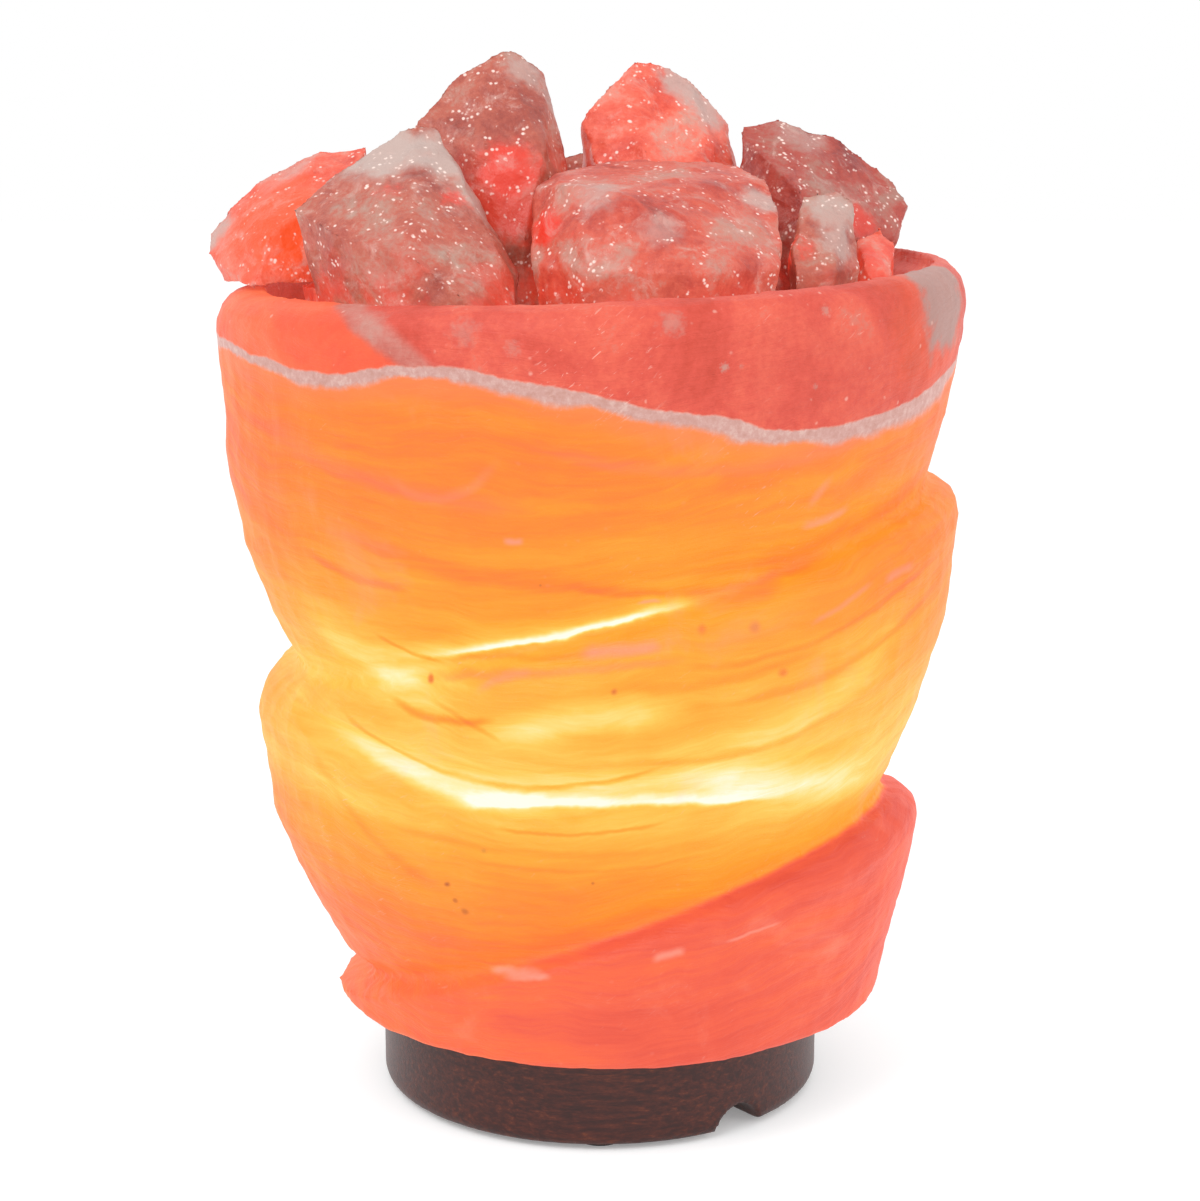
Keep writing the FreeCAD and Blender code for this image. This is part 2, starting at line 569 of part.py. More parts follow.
def bulb_screw_cap():
    inner = BULB_CAP_RADIUS - BULB_CAP_WALL
    return turned([(0, bulb_cap_bottom), (BULB_CAP_RADIUS, bulb_cap_bottom), (BULB_CAP_RADIUS, bulb_cap_top),
                   (inner, bulb_cap_top), (inner, bulb_cap_bottom + BULB_CAP_WALL),
                   (0, bulb_cap_bottom + BULB_CAP_WALL)])


def glass_body(shrink):
    """Closed short tube with a shoulder above its neck and a domed end, drawn in by the wall."""
    neck = glass_neck_radius - shrink
    wide = GLASS_RADIUS - shrink
    dome = bow((wide, bulb_top - GLASS_DOME_HEIGHT), (wide * 0.8, bulb_top - GLASS_DOME_HEIGHT * 0.35 - shrink),
               (wide * 0.35, bulb_top - shrink), ROUND_BANDS)
    return turned([(0, glass_bottom + shrink), (neck, glass_bottom + shrink), (neck, bulb_cap_top),
                   (wide, bulb_cap_top + GLASS_SHOULDER_HEIGHT)] + dome + [(0, bulb_top - shrink)])


def bulb_glass():
    return glass_body(0.0).cut(glass_body(GLASS_WALL))


def bulb_stem():
    return cylinder(STEM_RADIUS, stem_bottom, stem_top)


def filament_supports():
    wires = []
    for side in (-1, 1):
        foot = Vector(side * STEM_RADIUS / 2, 0, stem_top + SUPPORT_WIRE_RADIUS)
        head = Vector(side * SUPPORT_WIRE_SPREAD, 0, stem_top + SUPPORT_WIRE_HEIGHT)
        wires.append(Part.makeCylinder(SUPPORT_WIRE_RADIUS, (head - foot).Length, foot, head - foot))
    return group(wires)


def filament():
    height = stem_top + SUPPORT_WIRE_HEIGHT + FILAMENT_RADIUS + SUPPORT_WIRE_RADIUS
    length = 2 * SUPPORT_WIRE_SPREAD
    return Part.makeCylinder(FILAMENT_RADIUS, length, Vector(-length / 2, 0, height), Vector(1, 0, 0))


# ---------------------------------------------------------------- chunks of salt
def hull(corners):
    """Convex solid around a handful of corners, one flat facet for each plane that they all lie behind."""
    points = [Vector(*corner) for corner in corners]
    middle = sum(points, Vector()) * (1.0 / len(points))
    facets = {}
    for i in range(len(points)):
        for j in range(i + 1, len(points)):
            for k in range(j + 1, len(points)):
                normal = (points[j] - points[i]).cross(points[k] - points[i])
                if normal.Length < 1e-6:
                    continue
                normal.normalize()
                if normal.dot(points[i] - middle) < 0:
                    normal = -normal
                offsets = [normal.dot(spot - points[i]) for spot in points]
                if max(offsets) > 1e-6:
                    continue
                on_facet = frozenset(n for n, offset in enumerate(offsets) if offset > -1e-6)
                facets[on_facet] = normal
    faces = []
    for on_facet, normal in facets.items():
        spots = [points[n] for n in on_facet]
        hub = sum(spots, Vector()) * (1.0 / len(spots))
        across = (spots[0] - hub).normalize()
        along = normal.cross(across)
        spots.sort(key=lambda spot: math.atan2(along.dot(spot - hub), across.dot(spot - hub)))
        faces.append(Part.Face(Part.makePolygon(spots + spots[:1])))
    solid = Part.Solid(Part.Shell(faces))
    if solid.Volume < 0:
        solid.reverse()
    return solid


def raised(corners, level):
    return [(x, y, level + height) for x, y, height in corners]


def rim_height(x):
    return RIM_LEVEL + RIM_SLOPE * (x - RIM_CENTRE_X)


def on_floor(x, y):
    """Plan position drawn in, where it must be, to stand on the flat part of the cavity floor."""
    reach = math.hypot(x - RIM_CENTRE_X, y)
    share = min(1.0, (cavity_floor_flat - LOOSE_GAP) / reach)
    return RIM_CENTRE_X + (x - RIM_CENTRE_X) * share, y * share


def chunk_places():
    places = {name: (middle, radius) for name, (middle, radius, _, _, _) in CHUNKS.items()}
    places[RIM_CHUNK] = places[UNDER_CHUNK] = (RIM_CHUNK_PLACE, RIM_CHUNK_RADIUS)
    return places


def kept_to_its_place(name, solid):
    """Trims a chunk along upright planes halfway to its neighbours, so that each one lifts straight out."""
    places = chunk_places()
    (x, y), radius = places[name]
    for (other_x, other_y), other_radius in set(places.values()) - {places[name]}:
        span = math.hypot(other_x - x, other_y - y)
        reach = (span ** 2 + radius ** 2 - other_radius ** 2) / (2 * span) - LOOSE_GAP / 2
        block = Part.makeBox(REACH, 2 * REACH, 2 * REACH, Vector(reach, -REACH, -REACH / 2))
        block.rotate(Vector(0, 0, 0), UP, math.degrees(math.atan2(other_y - y, other_x - x)))
        block.translate(Vector(x, y, 0))
        if solid.common(block).Volume > 1e-6:
            solid = solid.cut(block)
    return solid


def salt_chunk(name):
    middle, _, girth_height, girth, crown = CHUNKS[name]
    corners = [(x, y, girth_height) for x, y in girth] + crown
    for x, y in girth:
        foot_x = blend(middle[0], x, CHUNK_FOOT_SHARE)
        foot_y = blend(middle[1], y, CHUNK_FOOT_SHARE)
        corners.append(on_floor(foot_x, foot_y) + (LOOSE_GAP,))
    return kept_to_its_place(name, hull(raised(corners, CAVITY_FLOOR_HEIGHT)))


def rim_chunk():
    base = [(x, y, rim_height(x) + LOOSE_GAP) for x, y in RIM_CHUNK_BASE]
    return kept_to_its_place(RIM_CHUNK, hull(base + raised(RIM_CHUNK_CORNERS, RIM_LEVEL)))


def under_chunk():
    top = [(x, y, rim_height(x)) for x, y in UNDER_CHUNK_CORNERS]
    foot = [on_floor(x, y) + (CAVITY_FLOOR_HEIGHT + LOOSE_GAP,) for x, y in UNDER_CHUNK_CORNERS]
    return kept_to_its_place(UNDER_CHUNK, hull(top + foot))


# ---------------------------------------------------------------- all the pieces
PIECES = {
    "salt_bowl": salt_bowl, "wood_base": wood_base, "base_feet": base_feet, "base_screws": base_screws,
    "screw_anchors": screw_anchors, "holder_flange": holder_flange, "holder_clips": holder_clips,
    "clip_rivets": clip_rivets, "holder_shell": holder_shell, "holder_cap": holder_cap,
    "contact_carrier": contact_carrier, "terminal_screws": terminal_screws, "screw_sleeve": screw_sleeve,
    "centre_contact": centre_contact, "side_contact": side_contact, "bulb_tip_contact": bulb_tip_contact,
    "bulb_tip_insulator": bulb_tip_insulator, "bulb_screw_cap": bulb_screw_cap, "bulb_glass": bulb_glass,
    "bulb_stem": bulb_stem, "filament_supports": filament_supports, "filament": filament,
    RIM_CHUNK: rim_chunk, UNDER_CHUNK: under_chunk,
}

os.makedirs("parts", exist_ok=True)
for piece_name, make in PIECES.items():
    save(piece_name, make())
for chunk_name in CHUNKS:
    save(chunk_name, salt_chunk(chunk_name))
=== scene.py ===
import math

import bpy
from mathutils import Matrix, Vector, noise


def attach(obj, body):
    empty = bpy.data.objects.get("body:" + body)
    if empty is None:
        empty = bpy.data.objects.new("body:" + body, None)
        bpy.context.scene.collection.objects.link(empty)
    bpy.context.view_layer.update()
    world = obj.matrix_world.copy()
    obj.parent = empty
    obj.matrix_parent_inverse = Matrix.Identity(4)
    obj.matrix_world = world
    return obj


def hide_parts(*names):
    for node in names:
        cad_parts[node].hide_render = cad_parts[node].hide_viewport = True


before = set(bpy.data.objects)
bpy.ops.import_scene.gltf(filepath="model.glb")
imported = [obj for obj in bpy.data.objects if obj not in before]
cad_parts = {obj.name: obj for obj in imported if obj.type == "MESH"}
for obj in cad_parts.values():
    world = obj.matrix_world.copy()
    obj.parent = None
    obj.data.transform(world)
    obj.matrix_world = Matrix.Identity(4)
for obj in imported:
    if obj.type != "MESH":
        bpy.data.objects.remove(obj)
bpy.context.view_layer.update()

# ---------------------------------------------------------------- sizes, in metres
MM = 0.001
MM_PER_METRE = 1000.0
BOWL_VOXEL = 1.0 * MM
CHUNK_VOXEL = 0.85 * MM
WOOD_VOXEL = 0.8 * MM
WELD_DISTANCE = 1e-5
FLOOR_HALF_SIDE = 3.0

# camera: distance in front of the lamp's axis, height, downward pitch in degrees, focal length in pixels
CAMERA_DISTANCE = 0.600
CAMERA_HEIGHT = 0.240
CAMERA_PITCH = 11.9
FOCAL_PIXELS = 2660.0
PICTURE_WIDTH_PIXELS = 1200.0
SENSOR = 36.0

# light: strength of the world, and what the floor gains where the camera sees it, so that it is white
# outside the lamp's shadow
WORLD_LIGHT = 0.95
FLOOR_LIFT = 0.24

# lamps: name, place, side of the square and power; both point at one place in the bowl
LAMPS = [("key", (-0.5, -0.7, 0.9), 0.6, 5.0), ("fill", (0.7, -0.6, 0.5), 0.6, 2.0)]
LAMP_AIM = (0, 0, 0.1)


# ---------------------------------------------------------------- colours
def srgb(code):
    """Linear colour from a six-digit sRGB code."""
    values = [int(code[i:i + 2], 16) / 255 for i in (0, 2, 4)]
    return tuple(v / 12.92 if v <= 0.04045 else ((v + 0.055) / 1.055) ** 2.4 for v in values) + (1.0,)


BLACK = srgb("000000")


# ---------------------------------------------------------------- node building
class Tree:
    """A material with one Principled shader, and short calls for the nodes that feed it."""

    def __init__(self, name, roughness=0.5, **sockets):
        self.material = bpy.data.materials.new(name)
        self.material.use_nodes = True
        self.tree = self.material.node_tree
        self.shader = self.tree.nodes["Principled BSDF"]
        self.shader.inputs["Roughness"].default_value = roughness
        for socket, value in sockets.items():
            self.shader.inputs[socket.replace("_", " ")].default_value = value
        self.place = self.add("ShaderNodeTexCoord").outputs["Object"]

    def add(self, kind, **settings):
        node = self.tree.nodes.new(kind)
        for key, value in settings.items():
            setattr(node, key, value)
        return node

    def feed(self, socket, value):
        if isinstance(value, bpy.types.NodeSocket):
            self.tree.links.new(value, socket)
        else:
            socket.default_value = value

    def to(self, socket, value):
        self.feed(self.shader.inputs[socket], value)

    def math(self, operation, a, b=None, c=None):
        node = self.add("ShaderNodeMath", operation=operation)
        for socket, value in zip(node.inputs, (a, b, c)):
            if value is not None:
                self.feed(socket, value)
        return node.outputs[0]

    def swing(self, value, reach):
        """A value from 0 to 1 as one that swings about zero, times reach."""
        return self.math("MULTIPLY", self.math("SUBTRACT", value, 0.5), reach)

    def vector(self, operation, a, b=None, output="Vector"):
        node = self.add("ShaderNodeVectorMath", operation=operation)
        self.feed(node.inputs[0], a)
        if b is not None:
            self.feed(node.inputs[1], b)
        return node.outputs[output]

    def split(self, vector):
        node = self.add("ShaderNodeSeparateXYZ")
        self.feed(node.inputs[0], vector)
        return node.outputs

    def stretched(self, scale, offset=(0, 0, 0), turn=(0, 0, 0)):
        node = self.add("ShaderNodeMapping")
        self.feed(node.inputs["Vector"], self.place)
        node.inputs["Scale"].default_value = scale
        node.inputs["Location"].default_value = offset
        node.inputs["Rotation"].default_value = [math.radians(angle) for angle in turn]
        return node.outputs[0]

    def noise(self, scale, detail=3.0, roughness=0.55, distortion=0.0, at=None):
        node = self.add("ShaderNodeTexNoise")
        self.feed(node.inputs["Vector"], at if at is not None else self.place)
        node.inputs["Scale"].default_value = scale
        node.inputs["Detail"].default_value = detail
        node.inputs["Roughness"].default_value = roughness
        node.inputs["Distortion"].default_value = distortion
        return node.outputs["Fac"]

    def cells(self, scale, at=None, feature="F1"):
        node = self.add("ShaderNodeTexVoronoi", feature=feature)
        self.feed(node.inputs["Vector"], at if at is not None else self.place)
        node.inputs["Scale"].default_value = scale
        return node.outputs["Distance"]

    def joined(self, x, y, z):
        node = self.add("ShaderNodeCombineXYZ")
        for socket, value in zip(node.inputs, (x, y, z)):
            self.feed(socket, value)
        return node.outputs[0]

    def scaled(self, vector, scale, offset=(0, 0, 0)):
        return self.vector("ADD", self.vector("MULTIPLY", vector, scale), offset)

    def curve(self, value, points):
        """Smooth curve through a few (in, out) pairs."""
        low, high = points[0][0], points[-1][0]
        least, most = min(p[1] for p in points), max(p[1] for p in points)
        node = self.add("ShaderNodeFloatCurve")
        line = node.mapping.curves[0]
        for i, (at, result) in enumerate(points):
            spot = ((at - low) / (high - low), (result - least) / (most - least))
            if i < 2:
                line.points[i].location = spot
            else:
                line.points.new(*spot)
        node.mapping.update()
        self.feed(node.inputs["Value"], self.fit(value, low, high, smooth=False))
        return self.math("MULTIPLY_ADD", node.outputs[0], most - least, least)

    def away_from(self, x, z, place):
        """Distance in the front plane from a place given in mm."""
        return self.vector("DISTANCE", self.joined(x, 0.0, z), (place[0], 0.0, place[1]), output="Value")

    def stroke(self, x, z, wobble, first, middle, last, above, below, ends):
        """Mask along the parabola through three places (x, z), with soft edges and fading ends."""
        (x1, z1), (x2, z2), (x3, z3) = first, middle, last
        slope_1, slope_2 = (z2 - z1) / (x2 - x1), (z3 - z2) / (x3 - x2)
        bend = (slope_2 - slope_1) / (x3 - x1)
        slope = slope_1 - bend * (x1 + x2)
        base = z1 - slope * x1 - bend * x1 * x1
        line = self.math("MULTIPLY_ADD", self.math("MULTIPLY_ADD", x, bend, slope), x, base)
        off = self.math("ADD", self.math("SUBTRACT", z, line), wobble)
        mask = self.math("MULTIPLY", self.fit(off, above, 0.0), self.fit(off, -below, 0.0))
        inside = self.fit(self.math("ABSOLUTE", self.math("SUBTRACT", x, (x1 + x3) / 2)),
                          (x3 - x1) / 2 + ends * 0.5, (x3 - x1) / 2 - ends * 0.5)
        return self.math("MULTIPLY", mask, inside)

    def fit(self, value, low, high, to_low=0.0, to_high=1.0, smooth=True):
        node = self.add("ShaderNodeMapRange", clamp=True)
        node.interpolation_type = "SMOOTHSTEP" if smooth else "LINEAR"
        for socket, given in zip(node.inputs, (value, low, high, to_low, to_high)):
            self.feed(socket, given)
        return node.outputs[0]

    def ramp(self, value, stops):
        node = self.add("ShaderNodeValToRGB")
        self.feed(node.inputs[0], value)
        elements = node.color_ramp.elements
        while len(elements) < len(stops):
            elements.new(0.5)
        for element, (position, colour) in zip(elements, stops):
            element.position = position
            element.color = srgb(colour)
        return node.outputs["Color"]

    def mix(self, share, a, b, blend="MIX"):
        node = self.add("ShaderNodeMix", data_type="RGBA", blend_type=blend)
        self.feed(node.inputs["Factor"], share)
        self.feed(node.inputs[6], a)
        self.feed(node.inputs[7], b)
        return node.outputs[2]

    def bump(self, height, distance, strength=1.0, after=None):
        node = self.add("ShaderNodeBump")
        node.inputs["Strength"].default_value = strength
        node.inputs["Distance"].default_value = distance
        self.feed(node.inputs["Height"], height)
        if after is not None:
            self.feed(node.inputs["Normal"], after)
        return node.outputs[0]

    def patch(self, centre, reach, soft=0.5, warp=0.25, seed=0.0):
        """Mask that is 1 round a place given in mm and fades out at the reach, with a ragged edge."""
        away = self.vector("DISTANCE", self.place, tuple(c * MM for c in centre), output="Value")
        ragged = self.noise(1 / (0.35 * reach * MM), detail=4, at=self.shifted(seed))
        away = self.math("DIVIDE", away, reach * MM)
        away = self.math("ADD", away, self.swing(ragged, 2 * warp))
        return self.fit(away, 1.0, 1.0 - soft)

    def shifted(self, seed):
        return self.vector("ADD", self.place, (seed * 0.37, seed * 0.61, seed * 0.23))


# ---------------------------------------------------------------- meshes from the frame
def frame_copy(node, name):
    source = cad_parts[node]
    piece = bpy.data.objects.new(name, source.data.copy())
    bpy.context.scene.collection.objects.link(piece)
    piece.data.materials.clear()
    return piece


def apply_modifiers(piece):
    graph = bpy.context.evaluated_depsgraph_get()
    mesh = bpy.data.meshes.new_from_object(piece.evaluated_get(graph))
    piece.modifiers.clear()
    old = piece.data
    piece.data = mesh
    bpy.data.meshes.remove(old)


def resampled(piece, voxel, smoothing=0):
    weld = piece.modifiers.new("weld", "WELD")
    weld.merge_threshold = WELD_DISTANCE
    remesh = piece.modifiers.new("remesh", "REMESH")
    remesh.mode = "VOXEL"
    remesh.voxel_size = voxel
    remesh.use_smooth_shade = True
    if smoothing:
        smooth = piece.modifiers.new("smooth", "SMOOTH")
        smooth.factor = 0.5
        smooth.iterations = smoothing
    apply_modifiers(piece)


def displaced(piece, depth):
    """Moves each vertex along its normal by depth(place in mm), and keeps the piece in its box."""
    mesh = piece.data
    low = Vector((min(v.co[i] for v in mesh.vertices) for i in range(3)))
    high = Vector((max(v.co[i] for v in mesh.vertices) for i in range(3)))
    normals = [v.normal.copy() for v in mesh.vertices]
    for vertex, normal in zip(mesh.vertices, normals):
        co = vertex.co + normal * depth(vertex.co / MM, normal) * MM
        vertex.co = [min(max(co[i], low[i]), high[i]) for i in range(3)]
    mesh.update()


def finished(piece, material, body, slot, *nodes):
    piece.data.materials.clear()
    piece.data.materials.append(material)
    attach(piece, body)
    if nodes:
        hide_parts(*nodes)


# ---------------------------------------------------------------- salt of the bowl
# colours of the painted glow, the bulb's light through the salt, from the dimmest to the brightest salt, by
# how much light gets through
GLOW = [(0.00, "A8302A"), (0.12, "DE4838"), (0.22, "F25C40"), (0.32, "FF6E3A"), (0.42, "FF8028"),
        (0.52, "FF9322"), (0.62, "FFA42A"), (0.70, "FFB43A"), (0.78, "FFC852"), (0.86, "FFDB7C"),
        (0.93, "FFECAE"), (1.00, "FFFBE6")]

# painted glow by height at the middle of the front, height in mm
PAINTED_GLOW_BY_HEIGHT = [(24, 0.25), (36, 0.27), (48, 0.32), (58, 0.41), (68, 0.52), (77, 0.63), (88, 0.75),
                  (100, 0.74), (110, 0.69), (122, 0.63), (134, 0.56), (150, 0.52), (168, 0.50), (194, 0.42)]

# lower edge of the opaque band, as height over x, both in mm
VEIN = [(-84, 176), (-71, 175), (-55, 173.5), (-36, 176.6), (-16, 174.2), (-2, 171.6), (10, 169), (28, 165.4),
        (44, 162.8), (57, 163.9), (69, 167), (77, 170.5), (84, 172)]

# strokes of painted glow in the salt of the front: three places (x, z) along the middle, how far it reaches
# above and below, how long its ends fade (all in mm), how much painted glow it adds, and how much of a pink
# cast
STROKES = [
    # painted light at the ledge of step A, where the salt is thin, and the paler line of painted light that
    # feeds it
    ((-30, 116.4), (-10, 120.8), (14, 126.8), 2.0, 0.9, 18, 0.25, 0.0),
    ((-46, 113.0), (-8, 121.4), (26, 130.0), 6.0, 1.6, 30, 0.13, 0.0),
    ((-62, 121.0), (-48, 112.0), (-28, 110.0), 11.0, 9.0, 16, 0.11, 0.0),
    # painted light at step B, where the salt is thin, as a bright band
    ((-54, 95.0), (-36, 88.4), (-14, 84.6), 6.5, 2.6, 16, 0.17, 0.0),
    ((-26, 85.0), (6, 85.8), (36, 85.0), 2.4, 1.2, 20, 0.25, 0.0),
    ((-24, 87.0), (8, 88.6), (46, 86.0), 7.0, 2.6, 24, 0.09, 0.0),
    ((20, 90.0), (42, 85.5), (58, 82.0), 9.0, 7.0, 14, 0.12, 0.0),
    # painted glow in the middle tier
    ((-20, 102.6), (-2, 105.2), (14, 106.5), 6.5, 5.0, 16, 0.17, 0.0),
    ((-48, 109.0), (-42, 109.6), (-37, 110.0), 2.8, 2.2, 7, 0.12, 0.0),
    ((30, 100.0), (48, 106.0), (62, 118.0), 7.0, 9.0, 14, 0.08, 0.0),
    # strokes of dimmer painted glow, darker and more orange
    ((-60, 134.0), (-53, 131.5), (-40, 129.8), 1.8, 1.6, 6, -0.13, 0.0),
    ((-52, 139.0), (-28, 134.0), (0, 132.0), 5.0, 2.5, 16, -0.09, 0.0),
    ((-4, 131.5), (20, 130.0), (44, 134.0), 2.6, 1.2, 12, -0.12, 0.0),
    ((18, 129.0), (27, 129.2), (36, 131.0), 3.0, 3.0, 6, -0.13, 0.10),
    ((22, 133.0), (44, 137.0), (70, 146.0), 4.0, 3.0, 14, -0.08, 0.0),
    ((-46, 117.8), (-40, 115.4), (-34, 114.2), 0.9, 0.7, 4, -0.16, 0.0),
    ((-42, 105.6), (-33, 103.6), (-23, 104.6), 1.5, 1.3, 5, -0.20, 0.0),
    ((-33, 106.6), (-26, 103.4), (-21, 100.8), 1.0, 1.0, 4, -0.10, 0.0),
    ((-34, 111.6), (-14, 114.4), (14, 117.6), 1.4, 1.4, 10, -0.09, 0.15),
    ((-30, 115.0), (-14, 117.0), (0, 119.0), 0.9, 0.9, 6, -0.08, 0.0),
    ((-52, 100.0), (-36, 91.6), (-20, 88.6), 1.4, 1.0, 8, -0.13, 0.0),
    ((-22, 88.4), (-4, 89.6), (10, 93.4), 1.0, 1.4, 8, -0.16, 0.0),
    ((6, 112.0), (24, 112.6), (44, 117.0), 2.2, 1.8, 12, -0.09, 0.0),
    ((10, 96.0), (30, 96.6), (52, 103.0), 1.6, 1.6, 12, -0.08, 0.0),
    ((-20, 80.6), (-4, 80.0), (12, 81.6), 0.7, 0.8, 6, -0.14, 0.0),
    ((-40, 78.0), (-10, 75.0), (24, 76.0), 1.6, 1.6, 12, -0.07, 0.0),
    ((-26, 72.6), (-6, 71.0), (20, 72.6), 1.0, 1.2, 10, -0.07, 0.0),
    ((-20, 150.0), (10, 149.0), (50, 153.0), 2.6, 2.6, 18, 0.05, 0.0),
    ((-70, 160.0), (-44, 152.0), (-18, 149.0), 4.0, 3.0, 16, -0.06, 0.10),
    ((-8, 160.0), (20, 156.0), (62, 162.0), 3.0, 2.0, 20, -0.05, 0.12),
    ((30, 108.0), (50, 112.0), (70, 122.0), 1.8, 1.4, 12, -0.10, 0.0),
    ((20, 116.0), (44, 119.0), (70, 130.0), 1.5, 1.2, 12, -0.10, 0.0),
    ((-60, 88.0), (-50, 76.0), (-36, 66.0), 3.0, 2.0, 12, -0.06, 0.0),
    # salt that stands out pink
    ((-3, 118.6), (4, 119.6), (12, 120.4), 2.2, 2.0, 4, -0.05, 0.55),
    ((-24, 111.0), (-19, 113.4), (-14, 114.4), 1.6, 1.6, 4, -0.02, 0.40),
    ((8, 128.0), (10, 128.2), (12, 128.4), 0.7, 0.7, 2, 0.02, 0.55),
    ((42, 142.4), (47, 143.2), (51, 144.4), 2.0, 1.6, 3, 0.0, 0.50),
    ((43, 147.6), (45, 149.6), (47, 151.6), 2.2, 2.2, 3, 0.0, 0.35),
    ((60, 129.6), (63, 130.2), (66, 131.0), 1.6, 1.6, 2, -0.04, 0.45),
    ((44, 123.4), (49, 125.6), (56, 129.0), 1.2, 1.2, 3, -0.02, 0.35),
    ((-19, 142.0), (-17.2, 142.0), (-15.6, 142.2), 1.2, 1.2, 1.5, 0.0, 0.65),
    ((-42, 153.0), (-34, 150.0), (-22, 156.0), 2.4, 2.4, 7, 0.0, 0.22),
    # lowest tier
    ((-23, 44.6), (-17, 45.6), (-11, 46.4), 1.2, 1.2, 2.5, 0.10, 0.75),
    ((11.5, 51.2), (14.5, 51.8), (17.5, 52.4), 1.6, 1.6, 2.0, 0.10, 0.70),
    ((27, 53.8), (33, 55.0), (38, 56.0), 0.8, 0.8, 3, 0.06, 0.60),
]

# small dark or pale specks on the front: place (x, z), reach (mm) and colour
SPECKS = [
    ((-34.9, 111.0), 0.9, "E8602C"), ((2.8, 111.6), 1.1, "D8662E"), ((31.4, 123.7), 1.8, "E88448"),
    ((37.5, 113.2), 1.5, "F07A2C"), ((-32.2, 66.0), 1.1, "A8441C"), ((-30.6, 62.0), 0.9, "C8641E"),
    ((-28.6, 59.4), 1.2, "C8661E"), ((-24.1, 75.2), 1.1, "D88A34"), ((-1.5, 67.8), 0.6, "C86A28"),
    ((20.5, 123.8), 1.6, "F07830"), ((-12.0, 132.4), 0.6, "C87028"),
]


# the layers sag about a line a little to the left of the middle, in mm
LAYER_OFFSET = 18.0
LAYER_SAG = 0.0022

# edge of the lowest tier, in mm: its level at one x, its climb to the right and its fall to the back
STEP_C_X = 2.6
STEP_C_LEVEL = 47.6
STEP_C_CLIMB = 0.365
STEP_C_FALL = 0.10

# colours of the opaque band, of its smoother left end and of the pale vein below it
BAND_TONES = [(0.30, "B43A2C"), (0.44, "C84432"), (0.54, "D65040"), (0.64, "E2604A"), (0.76, "CE7C6C")]
LEFT_BAND_TONES = [(0.32, "F05436"), (0.52, "FB6C42"), (0.70, "F8845A")]
VEIN_TONES = [(0.35, "C4978E"), (0.52, "CFA6A0"), (0.66, "DCBCB4")]

# level of the vein round the back, in mm
VEIN_BACK_LEVEL = 172.0

# grey-pink patches in the opaque band: place and reach in mm, and share of the patch's colour
BAND_PATCHES = [
    ((-27, -79, 184), 4.2, 0.34), ((-17, -81, 181), 2.4, 0.30), ((14, -81, 186), 3.6, 0.42),
    ((24.5, -79, 177), 1.3, 0.7), ((45, -68, 187), 1.5, 0.5), ((28, -78, 177), 0.8, 0.5),
    ((43, -69, 172), 1.0, 0.5), ((-46, -70, 186), 5.0, 0.30),
]


def salt_layers(t, x, y, z):
    """Coordinates that follow the sagging layers of the salt, bent a little by a slow noise."""
    sag = t.math("MULTIPLY", t.math("POWER", t.math("ADD", x, LAYER_OFFSET), 2.0), -LAYER_SAG)
    level = t.math("ADD", z, sag)
    slow = t.noise(24.0, detail=3, roughness=0.5, at=t.shifted(4.0))
    level = t.math("ADD", level, t.swing(slow, 16.0))
    return t.joined(x, y, level)


def with_lowest_tier(t, painted_glow_level, place, wobble, broad, fine, clouds):
    """The painted glow level, with the dimmer glow of the denser, redder salt of the lowest tier below its
    edge.
    """
    x, y, z = place
    step_c = t.math("MULTIPLY", t.math("SUBTRACT", x, STEP_C_X), STEP_C_CLIMB)
    step_c = t.math("ADD", step_c, STEP_C_LEVEL)
    step_c = t.math("SUBTRACT", step_c, t.math("MULTIPLY", y, STEP_C_FALL))
    below_c = t.fit(t.math("SUBTRACT", step_c, t.math("ADD", z, t.math("MULTIPLY", wobble, 0.5))), -1.0, 0.8)
    below_c = t.math("MULTIPLY", below_c, t.fit(x, -60.0, 20.0, 0.35, 1.0))
    low = t.math("ADD", 0.215, t.swing(broad, 0.34))
    low = t.math("ADD", low, t.fit(x, 20.0, -60.0, 0.0, 0.11))
    low = t.math("ADD", low, t.swing(fine, 0.16))
    low = t.math("ADD", low, t.swing(clouds, 0.16))
    return t.math("ADD", t.math("MULTIPLY", painted_glow_level, t.math("SUBTRACT", 1.0, below_c)),
                  t.math("MULTIPLY", low, below_c))


